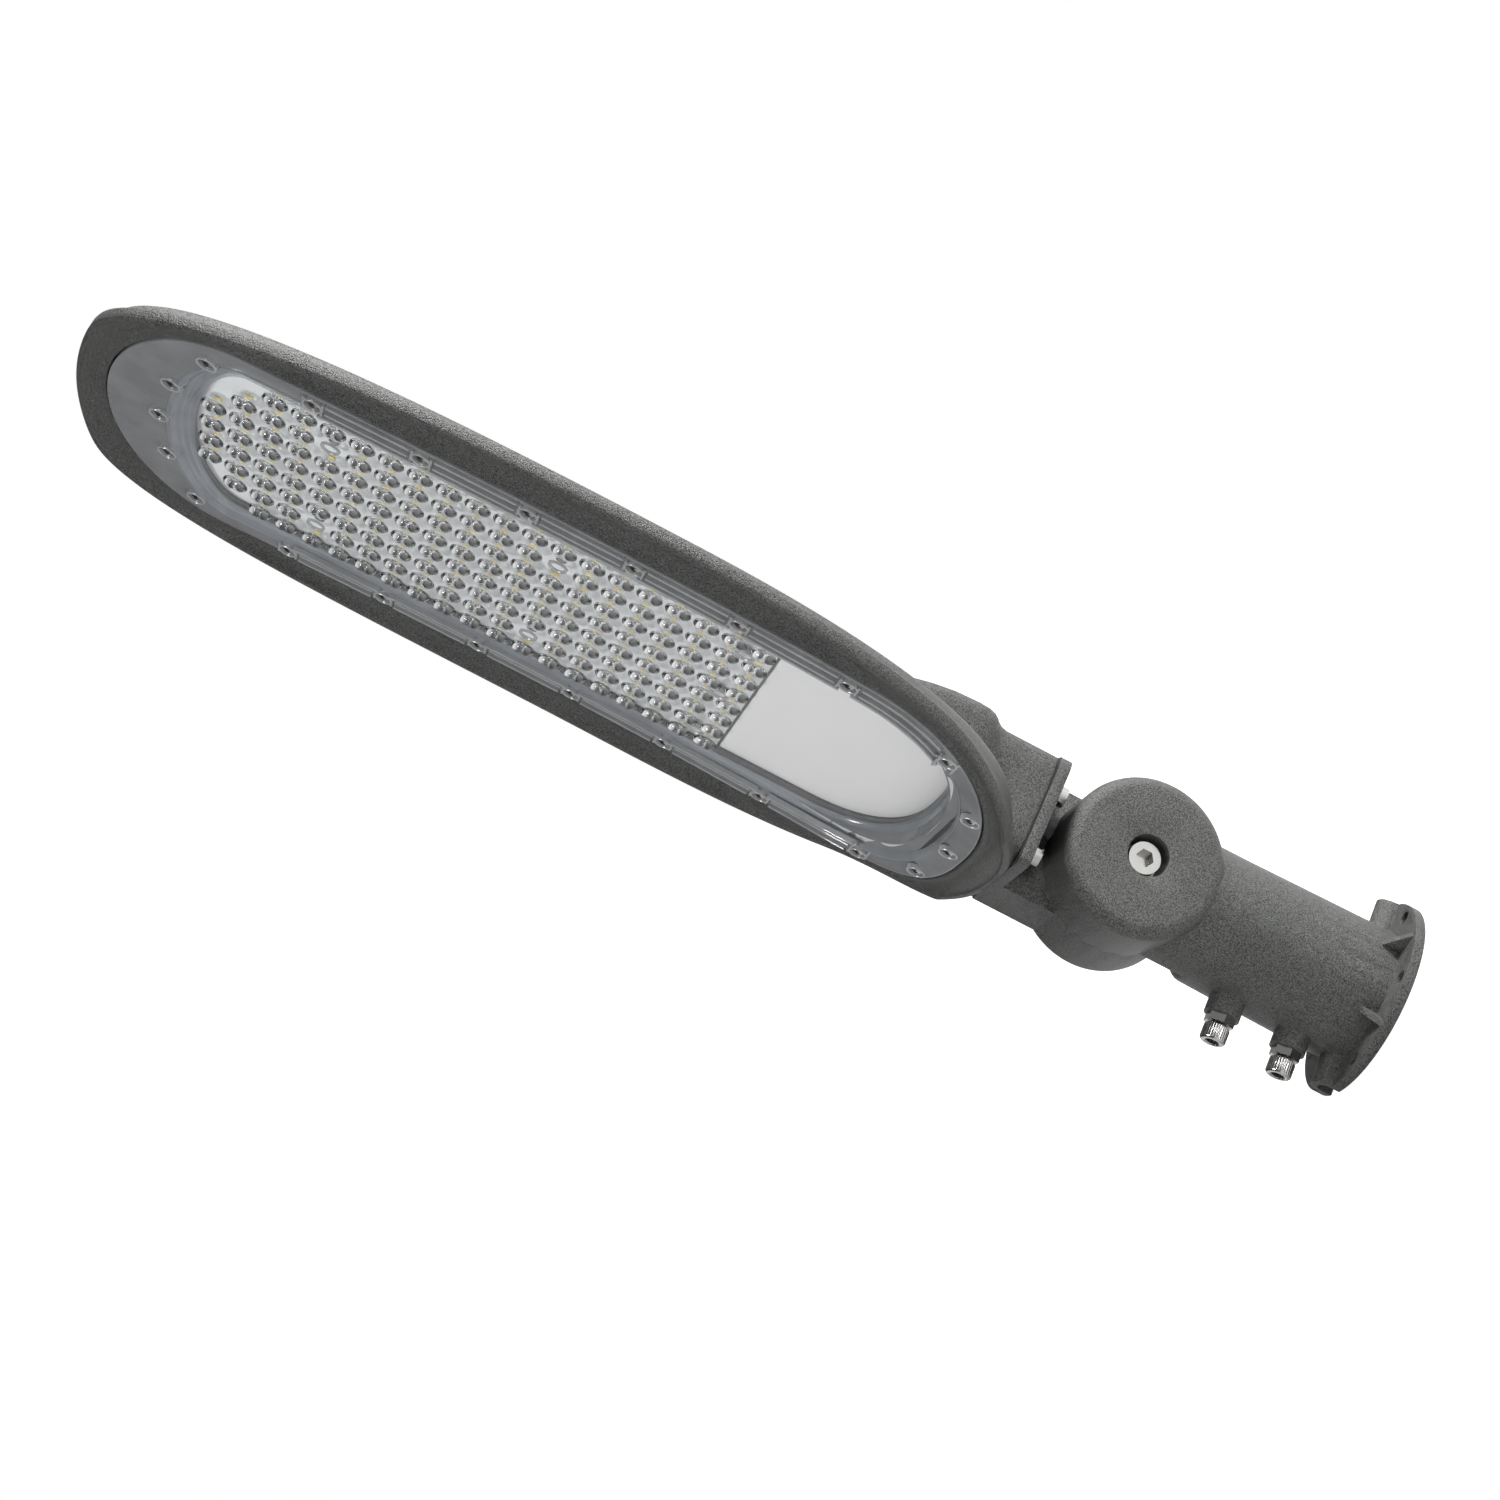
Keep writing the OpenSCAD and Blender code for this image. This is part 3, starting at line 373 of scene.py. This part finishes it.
def coat_material(name, dark, light):
    m = bpy.data.materials.new(name)
    m.use_nodes = True
    t = m.node_tree
    p = t.nodes["Principled BSDF"]
    g = t.nodes.new("ShaderNodeGroup")
    g.node_tree = sand
    g.inputs["Grain"].default_value = GRAIN
    ramp = t.nodes.new("ShaderNodeMix")
    ramp.data_type = "RGBA"
    ramp.inputs[6].default_value = (*dark, 1)
    ramp.inputs[7].default_value = (*light, 1)
    t.links.new(g.outputs["Speckle"], ramp.inputs[0])
    shade = t.nodes.new("ShaderNodeMix")
    shade.data_type = "RGBA"
    shade.blend_type = "MULTIPLY"
    shade.inputs[0].default_value = 0.25
    t.links.new(ramp.outputs[2], shade.inputs[6])
    t.links.new(g.outputs["Cloud"], shade.inputs[7])
    t.links.new(shade.outputs[2], p.inputs["Base Color"])
    rough = t.nodes.new("ShaderNodeMapRange")
    rough.inputs["To Min"].default_value = 0.36
    rough.inputs["To Max"].default_value = 0.58
    t.links.new(g.outputs["Speckle"], rough.inputs["Value"])
    t.links.new(rough.outputs["Result"], p.inputs["Roughness"])
    bump = t.nodes.new("ShaderNodeBump")
    bump.inputs["Strength"].default_value = 0.7
    bump.inputs["Distance"].default_value = 0.0007
    t.links.new(g.outputs["Height"], bump.inputs["Height"])
    t.links.new(bump.outputs["Normal"], p.inputs["Normal"])
    return m


powder = coat_material("sand-textured powder coat", (0.006, 0.0063, 0.006), (0.142, 0.146, 0.138))
housing.data.materials.append(powder)

# ---------------------------------------------------------------------------
# Bracket and spigot: two more die castings with the same coat. Their moulded
# edges are broken all round, and the facing discs carry the tilt teeth.


EDGE_ANGLE = math.radians(34)


def soften(node, width, name):
    """Copy of a frame solid with its corners rounded over."""
    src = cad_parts[node]
    mesh = src.data.copy()
    mesh.name = name
    bm = bmesh.new()
    bm.from_mesh(mesh)
    bmesh.ops.remove_doubles(bm, verts=bm.verts, dist=1e-6)
    bmesh.ops.dissolve_limit(bm, angle_limit=math.radians(1.0), verts=bm.verts, edges=bm.edges)
    corners = [e for e in bm.edges
               if len(e.link_faces) == 2 and e.calc_face_angle(0) > EDGE_ANGLE]
    bmesh.ops.bevel(bm, geom=corners, offset=width, segments=2, profile=0.5,
                    affect="EDGES", clamp_overlap=True)
    bm.to_mesh(mesh)
    bm.free()
    mesh.materials.clear()
    mesh.shade_smooth()
    mesh.set_sharp_from_angle(angle=EDGE_ANGLE)
    piece = bpy.data.objects.new(name, mesh)
    bpy.context.scene.collection.objects.link(piece)
    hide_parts(node)
    return piece


EDGE_BREAK = 0.0007
bracket = soften("head_bracket", EDGE_BREAK, "tilt_bracket")
bracket.data.materials.append(powder)
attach(bracket, "head")
spigot = soften("pole_spigot", EDGE_BREAK, "spigot_casting")
spigot.data.materials.append(powder)
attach(spigot, "spigot")

# ---------------------------------------------------------------------------
# Clear cover: one injection-moulded polycarbonate part. Its flange follows the
# rim's bow and steps down round the flat window that carries the lenses.
flange_loops = []


def cover_loop(xz, y):
    flange_loops.append((xz[0], y + 0 * xz[0], xz[1]))


WINDOW_Y, WINDOW_T = -13.3, 2.5
for grow, up in ((-1.2, 3.0), (-0.2, 2.9), (0, 2.2), (0, 0.7),
                 (-0.25, 0.2), (-0.8, 0.0), (-2.0, 0.0)):
    o = cover_outline(turn, grow)
    cover_loop(o, cover_y(o[1]) + up)
inner = window_outline(turn, 9.0)
outer = cover_outline(turn, -3.0)
for s, lift in ((0, 0.0), (0.3, 0.2), (0.6, 0.3), (0.9, 0.3), (0.93, -0.5), (1, -0.5)):
    x, z = outer[0] + (inner[0] - outer[0]) * s, outer[1] + (inner[1] - outer[1]) * s
    cover_loop((x, z), cover_y(z) + lift)
BORDER_FROM = len(flange_loops) - 3
for grow, share in ((8.2, 0.02), (7.6, 0.2), (7.0, 0.36), (5.0, 0.42), (4.4, 0.5), (3.9, 0.66),
                    (2.4, 0.70), (1.8, 0.74), (1.2, 0.93), (0.6, 1.0), (-1.5, 1.0)):
    o = window_outline(turn, grow)
    y0 = cover_y(o[1]) + 0.3
    cover_loop(o, y0 + (WINDOW_Y - y0) * share)
front_rings = len(flange_loops)
for grow, back in ((-1.5, 0), (1.8, 0)):
    o = window_outline(turn, grow)
    cover_loop(o, WINDOW_Y + WINDOW_T + 0 * turn)
o = window_outline(turn, 2.0)
cover_loop(o, cover_y(o[1]) + 3.0)
cover_mesh = skin("clear cover", flange_loops, caps=(False, False), sharp=25)
bm = bmesh.new()
bm.from_mesh(cover_mesh)
bm.verts.ensure_lookup_table()
n = len(turn)
first, last = 0, (len(flange_loops) - 1) * n
for i in range(n):
    j = (i + 1) % n
    bm.faces.new((bm.verts[last + i], bm.verts[last + j], bm.verts[first + j], bm.verts[first + i]))
front_ring, back_ring = (front_rings - 1) * n, front_rings * n
# The band between the window's front and back rims goes, and a flat pane
# closes each rim.
gone = [f for f in bm.faces if all(front_ring <= v.index < back_ring + n for v in f.verts)]
bmesh.ops.delete(bm, geom=gone, context="FACES_ONLY")
bm.verts.ensure_lookup_table()
pane_a = bm.faces.new([bm.verts[front_ring + i] for i in range(n)])
pane_b = bm.faces.new([bm.verts[back_ring + i] for i in range(n)])
bmesh.ops.recalc_face_normals(bm, faces=bm.faces)
for f in bm.faces:
    rows = [v.index // n for v in f.verts]
    if f in (pane_a, pane_b):
        f.material_index = 1
    elif min(rows) >= BORDER_FROM and max(rows) < front_rings:
        f.material_index = 2
bm.to_mesh(cover_mesh)
bm.free()
cover_mesh.shade_smooth()
cover_mesh.set_sharp_from_angle(angle=math.radians(25))


def islands(node):
    """Middle of each separate solid of a node, in metres."""
    bm = bmesh.new()
    bm.from_mesh(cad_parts[node].data)
    bmesh.ops.remove_doubles(bm, verts=bm.verts, dist=1e-6)
    seen, found = set(), []
    for v in bm.verts:
        if v in seen:
            continue
        stack, group = [v], []
        seen.add(v)
        while stack:
            w = stack.pop()
            group.append(w.co.copy())
            for e in w.link_edges:
                u = e.other_vert(w)
                if u not in seen:
                    seen.add(u)
                    stack.append(u)
        low = Vector([min(c[k] for c in group) for k in range(3)])
        high = Vector([max(c[k] for c in group) for k in range(3)])
        found.append((low + high) / 2)
    bm.free()
    return found


def lathe(name, profile, at, n=40, shape=None, **how):
    """Turned shape about an axis along Y through (x, z) = at; profile is (radius, y) in mm."""
    a = np.arange(n) * 2 * np.pi / n
    rings = []
    for r, y in profile:
        rr = r + 0 * a if shape is None else shape(r, y, a)
        rings.append((at[0] + rr * np.cos(a), y + 0 * a, at[1] + rr * np.sin(a)))
    return skin(name, rings, **how)


cover_parts = []
screw_spots = [(c.x * 1000, c.z * 1000) for c in islands("cover_screws")]
for x, z in screw_spots:
    y = float(cover_y(z))
    cover_parts.append(lathe("boss", ((5.5, y + 0.6), (5.2, y - 1.6), (4.9, y - 1.9),
                                      (4.3, y - 1.9), (4.0, y - 1.6), (3.9, y + 0.6)),
                             (x, z), n=32, caps=(False, False), ring_back=True, sharp=40))


def side_x(z, inset):
    t = np.linspace(-np.pi / 2, np.pi / 2, 1500)
    ox, oz = cover_outline(t, -inset)
    return np.interp(z, oz, ox)


side_spots = sorted([p for p in screw_spots if abs(p[0]) > 76.5 and p[1] < cover_tip - 60],
                    key=lambda p: p[1])
for sign in (-1, 1):
    heights = [p[1] for p in side_spots if p[0] * sign > 0]
    for z_low, z_high in zip(heights, heights[1:]):
        for inset, w, h in ((2.4, 1.6, 1.9), (9.4, 1.4, 1.9), (13.4, 1.6, 2.3)):
            stop = 6.3 if inset < 11 else 3.0
            zs = np.linspace(z_low + stop, z_high - stop, 14)
            rings = []
            for z in zs:
                x0, y0 = float(side_x(z, inset)), float(cover_y(z))
                left, right_side = x0 - w / 2, x0 + w / 2
                rings.append((np.array([left, left, left + 0.3,
                                        right_side - 0.3, right_side, right_side]) * sign,
                              np.array([y0 + 0.6, y0 - h + 0.3, y0 - h,
                                        y0 - h, y0 - h + 0.3, y0 + 0.6]),
                              z + np.zeros(6)))
            cover_parts.append(skin("painted_highlight_ridge", rings, sharp=60))
    for z in heights:
        for off in (-4.6, 4.6):
            rings = []
            for xx in np.linspace(side_x(z, 13.0), side_x(z, 2.0), 6):
                y0 = float(cover_y(z))
                rings.append((xx * sign + np.zeros(6),
                              np.array([y0 + 0.6, y0 - 1.2, y0 - 1.5,
                                        y0 - 1.5, y0 - 1.2, y0 + 0.6]),
                              z + off + np.array([-0.7, -0.7, -0.4, 0.4, 0.7, 0.7])))
            cover_parts.append(skin("web", rings, sharp=60))
for x, z in [(c.x * 1000, c.z * 1000) for c in islands("board_screws")]:
    cover_parts.append(lathe("pip", ((5.0, WINDOW_Y + 0.2), (4.9, WINDOW_Y - 0.7),
                                     (4.6, WINDOW_Y - 0.9), (3.9, WINDOW_Y - 0.9),
                                     (3.5, WINDOW_Y - 0.5), (3.4, WINDOW_Y + 0.2)),
                             (x, z), n=32, caps=(False, False), ring_back=True, sharp=40))
# Slot 3 is a lighter grey than the flange: a painted highlight on the moulded ribs, bosses, webs
# and pips.
for part in cover_parts:
    part.polygons.foreach_set("material_index", [3] * len(part.polygons))
cover = join_into("clear_cover", [cover_mesh] + cover_parts)
cover.data.shade_smooth()
cover.data.set_sharp_from_angle(angle=math.radians(32))


def mottle_group():
    """Soft uneven mottling of moulded, painted or tumbled surfaces, as one mask."""
    g = bpy.data.node_groups.new("mottle", "ShaderNodeTree")
    for n in ("Scale", "Detail"):
        g.interface.new_socket(n, in_out="INPUT", socket_type="NodeSocketFloat")
    g.interface.new_socket("Mask", in_out="OUTPUT", socket_type="NodeSocketFloat")
    gi, go = g.nodes.new("NodeGroupInput"), g.nodes.new("NodeGroupOutput")
    co = g.nodes.new("ShaderNodeTexCoord")
    noise = g.nodes.new("ShaderNodeTexNoise")
    g.links.new(co.outputs["Object"], noise.inputs["Vector"])
    g.links.new(gi.outputs["Scale"], noise.inputs["Scale"])
    g.links.new(gi.outputs["Detail"], noise.inputs["Detail"])
    g.links.new(noise.outputs["Fac"], go.inputs["Mask"])
    return g


mottle = mottle_group()


def plastic_material(name, colour, rough, transmission, ior=1.55, cloud=0.0, cover=1.0):
    m = bpy.data.materials.new(name)
    m.use_nodes = True
    t = m.node_tree
    p = t.nodes["Principled BSDF"]
    p.inputs["IOR"].default_value = ior
    p.inputs["Transmission Weight"].default_value = transmission
    haze = t.nodes.new("ShaderNodeGroup")
    haze.node_tree = mottle
    haze.inputs["Scale"].default_value = 42
    haze.inputs["Detail"].default_value = 3
    tone = t.nodes.new("ShaderNodeMix")
    tone.data_type = "RGBA"
    tone.inputs[6].default_value = (*[c * (1 - cloud) for c in colour], 1)
    tone.inputs[7].default_value = (*[min(1, c * (1 + cloud)) for c in colour], 1)
    t.links.new(haze.outputs["Mask"], tone.inputs[0])
    t.links.new(tone.outputs[2], p.inputs["Base Color"])
    if cover < 1:
        p.inputs["Coat Weight"].default_value = 0.5
        veil = t.nodes.new("ShaderNodeMapRange")
        veil.inputs["To Min"].default_value = cover * 0.85
        veil.inputs["To Max"].default_value = min(1.0, cover * 1.15)
        t.links.new(haze.outputs["Mask"], veil.inputs["Value"])
        t.links.new(veil.outputs["Result"], p.inputs["Alpha"])
    r = t.nodes.new("ShaderNodeMapRange")
    r.inputs["To Min"].default_value = rough * 0.8
    r.inputs["To Max"].default_value = rough * 1.2
    t.links.new(haze.outputs["Mask"], r.inputs["Value"])
    t.links.new(r.outputs["Result"], p.inputs["Roughness"])
    return m


smoky = plastic_material("smoky polycarbonate flange", (0.27, 0.276, 0.285), 0.20, 0.0,
                         cloud=0.25, cover=0.80)
clear = plastic_material("clear polycarbonate pane", (0.93, 0.95, 0.97), 0.05, 0.0,
                         cloud=0.02, cover=0.10)
edge = plastic_material("clear polycarbonate border", (0.36, 0.385, 0.415), 0.12, 0.0,
                        cloud=0.18, cover=0.66)
# Painted highlight: the raised features of the one clear moulding take a lighter, more opaque grey
# than the flange they stand on, for the light their edges catch.
painted_highlight_ridge = plastic_material("clear polycarbonate ridges with painted highlight", (0.46, 0.47, 0.48), 0.12, 0.0,
                         cloud=0.12, cover=0.72)
for m in (smoky, clear, edge, painted_highlight_ridge):
    cover.data.materials.append(m)
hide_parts("lens_cover")
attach(cover, "head")

# ---------------------------------------------------------------------------
# Lenses: batwing domes moulded on the window, one over each LED. Each has two
# lobes with a valley between them, and a small bright skirt round its foot.
centres = islands("led_chips")


def lens_mesh():
    rings = []
    a = np.arange(28) * 2 * np.pi / 28
    for r, h in ((6.4, 0.0), (6.4, 0.35), (6.0, 0.6), (5.35, 0.65), (5.1, 1.3),
                 (4.6, 2.1), (3.8, 2.85), (2.8, 3.3), (1.7, 3.35), (0.7, 3.3)):
        lobe = 1 - 0.24 * np.cos(2 * a) * (0.3 < h) * (r < 5.9) * (r / 5.3)
        x, z = r * np.cos(a), r * np.sin(a) * (1.0 if r > 5.9 else lobe)
        dip = 0 if r > 5.2 or h < 0.3 else 0.9 * np.exp(-(z / 1.3) ** 2)
        rings.append((x, -(h - dip) + 0 * a, z))
    return skin("lens", rings, sharp=45)


one_lens = bpy.data.objects.new("lens pattern", lens_mesh())


def scatter(name, points, pattern, material):
    """Sets a copy of one piece at each point with Geometry Nodes, as one plain mesh."""
    base = bpy.data.meshes.new(name)
    base.from_pydata([tuple(p) for p in points], [], [])
    piece = bpy.data.objects.new(name, base)
    bpy.context.scene.collection.objects.link(piece)
    tree = bpy.data.node_groups.new(name + " layout", "GeometryNodeTree")
    tree.interface.new_socket("Geometry", in_out="INPUT", socket_type="NodeSocketGeometry")
    scale = tree.interface.new_socket("Size", in_out="INPUT", socket_type="NodeSocketFloat")
    scale.default_value = 1.0
    tree.interface.new_socket("Geometry", in_out="OUTPUT", socket_type="NodeSocketGeometry")
    gi, go = tree.nodes.new("NodeGroupInput"), tree.nodes.new("NodeGroupOutput")
    info = tree.nodes.new("GeometryNodeObjectInfo")
    info.inputs["Object"].default_value = pattern
    inst = tree.nodes.new("GeometryNodeInstanceOnPoints")
    real = tree.nodes.new("GeometryNodeRealizeInstances")
    mat = tree.nodes.new("GeometryNodeSetMaterial")
    mat.inputs["Material"].default_value = material
    tree.links.new(gi.outputs["Geometry"], inst.inputs["Points"])
    tree.links.new(info.outputs["Geometry"], inst.inputs["Instance"])
    tree.links.new(gi.outputs["Size"], inst.inputs["Scale"])
    tree.links.new(inst.outputs["Instances"], real.inputs["Geometry"])
    tree.links.new(real.outputs["Geometry"], mat.inputs["Geometry"])
    tree.links.new(mat.outputs["Geometry"], go.inputs["Geometry"])
    mod = piece.modifiers.new("layout", "NODES")
    mod.node_group = tree
    mod[scale.identifier] = 1.0
    bpy.context.view_layer.update()
    depsgraph = bpy.context.evaluated_depsgraph_get()
    done = bpy.data.meshes.new_from_object(piece.evaluated_get(depsgraph))
    piece.modifiers.clear()
    piece.data = done
    return piece


optic = plastic_material("lens polycarbonate", (0.96, 0.97, 0.98), 0.03, 1.0, cloud=0.01)
foot_y = WINDOW_Y * 0.001 - 0.00001
lenses = scatter("lens_domes", [(c.x, foot_y, c.z) for c in centres], one_lens, optic)
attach(lenses, "head")

# ---------------------------------------------------------------------------
# Lamp board: white-masked aluminium-core board with a yellow phosphor LED
# under each lens. It is screwed flat on the casting's floor.


def flat_material(name, colour, rough, scale=60, vary=0.04, metallic=0.0, bump=0.0):
    m = bpy.data.materials.new(name)
    m.use_nodes = True
    t = m.node_tree
    p = t.nodes["Principled BSDF"]
    p.inputs["Metallic"].default_value = metallic
    noise = t.nodes.new("ShaderNodeGroup")
    noise.node_tree = mottle
    noise.inputs["Scale"].default_value = scale
    noise.inputs["Detail"].default_value = 4
    tone = t.nodes.new("ShaderNodeMix")
    tone.data_type = "RGBA"
    tone.inputs[6].default_value = (*[c * (1 - vary) for c in colour], 1)
    tone.inputs[7].default_value = (*[min(1, c * (1 + vary)) for c in colour], 1)
    t.links.new(noise.outputs["Mask"], tone.inputs[0])
    t.links.new(tone.outputs[2], p.inputs["Base Color"])
    r = t.nodes.new("ShaderNodeMapRange")
    r.inputs["To Min"].default_value = rough * 0.85
    r.inputs["To Max"].default_value = min(1, rough * 1.15)
    t.links.new(noise.outputs["Mask"], r.inputs["Value"])
    t.links.new(r.outputs["Result"], p.inputs["Roughness"])
    if bump:
        b = t.nodes.new("ShaderNodeBump")
        b.inputs["Strength"].default_value = bump
        b.inputs["Distance"].default_value = 0.0003
        t.links.new(noise.outputs["Mask"], b.inputs["Height"])
        t.links.new(b.outputs["Normal"], p.inputs["Normal"])
    return m


def paint(node, material):
    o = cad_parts[node]
    o.data.materials.clear()
    o.data.materials.append(material)


paint("led_board", flat_material("white solder mask", (0.90, 0.92, 0.93), 0.45, vary=0.02))
paint("led_chips", flat_material("yellow phosphor", (0.95, 0.78, 0.25), 0.5,
                                 scale=900, vary=0.1))
paint("driver_cover", flat_material("matt white sheet", (0.84, 0.84, 0.83), 0.6, vary=0.015))
paint("cover_gasket", flat_material("pale silicone", (0.62, 0.63, 0.63), 0.5, bump=0.1))
paint("led_driver", flat_material("driver case", (0.1, 0.1, 0.11), 0.45,
                                  metallic=0.6, scale=400))
paint("terminal_block", flat_material("terminal plastic", (0.75, 0.75, 0.7), 0.5))
paint("neck_gasket", flat_material("black rubber", (0.02, 0.02, 0.02), 0.7,
                                   scale=500, vary=0.3, bump=0.2))
paint("cable_gland", flat_material("black nylon", (0.02, 0.02, 0.021), 0.45,
                                   scale=500, vary=0.2, bump=0.1))

# ---------------------------------------------------------------------------
# Screws, nuts and washers: bright stainless, tumbled, so the faces are slightly
# uneven in tone and carry small soft scuffs.
steel = flat_material("bright stainless", (0.46, 0.455, 0.44), 0.22,
                      scale=260, vary=0.06, metallic=1.0, bump=0.03)
for node in ("board_screws", "driver_screws", "cover_screws", "bracket_screws",
             "bracket_washers", "pivot_nut", "nut_washer", "pivot_bolt",
             "bolt_spring_washer", "bolt_washer", "jam_nuts"):
    paint(node, steel)

# ---------------------------------------------------------------------------
# Set screws: M8 cap screws with a knurled head, a broken edge and a hex
# socket. Their rolled threads show between the jam nut and the boss.
knurl_n, pitch = 30, 1.25
head_h, thread_steps = 8, 8
# Profile points inside this radius belong to the hex socket.
SOCKET_R = 3.2
for node in ("set_screw_upper", "set_screw_lower"):
    a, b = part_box(node)
    x, z = (a.x + b.x) * 500, (a.z + b.z) * 500
    y_out, y_in, head_r = a.y * 1000, b.y * 1000, (b.z - a.z) * 500
    y_head = y_out + head_h

    def thread(r, y, ang):
        phase = np.mod(y / pitch - ang / (2 * np.pi), 1.0)
        return 3.36 + 0.62 * np.minimum(1, 2.4 * (0.5 - np.abs(phase - 0.5)))

    steps = int((y_in - y_head - 0.8) / pitch * thread_steps)
    shaft = [(3.9, y_head - 0.2)]
    shaft += [(4, y_head + 0.1 + (y_in - y_head - 0.9) * k / steps) for k in range(steps + 1)]
    body = lathe("thread", shaft, (x, z), n=32, shape=thread, sharp=50)
    point = lathe("point", ((3.3, y_in - 0.9), (3.3, y_in - 0.5), (2.7, y_in)),
                  (x, z), n=32, sharp=30)

    def knurl(r, y, ang):
        cut = 0.28 if y_out + 0.9 < y < y_head - 0.5 else 0.0
        return r - cut * (0.5 - 0.5 * np.cos(ang * knurl_n)) * (r > head_r - 0.8)

    def socket(r, ang):
        return r / np.cos(np.mod(ang, np.pi / 3) - np.pi / 6)

    def head_shape(r, y, ang):
        return socket(r, ang) if r < SOCKET_R else knurl(r, y, ang)

    head = lathe("head", ((head_r - 1.2, y_head), (head_r - 0.3, y_head),
                          (head_r - 0.05, y_head - 0.35), (head_r, y_head - 0.6),
                          (head_r, y_head - 3.6), (head_r, y_out + 1.0),
                          (head_r - 0.15, y_out + 0.8), (head_r - 0.75, y_out + 0.15),
                          (head_r - 1.3, y_out), (3.9, y_out), (3.45, y_out + 0.35),
                          (3.0, y_out + 0.5), (3.0, y_out + 4)),
                 (x, z), n=knurl_n * 6, shape=head_shape, sharp=40)
    screw = join_into(node.replace("_screw", "_cap_screw"), [body, point, head])
    screw.data.shade_smooth()
    screw.data.set_sharp_from_angle(angle=math.radians(42))
    screw.data.materials.append(steel)
    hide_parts(node)
    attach(screw, node.split("_")[2] + "_set_screw")
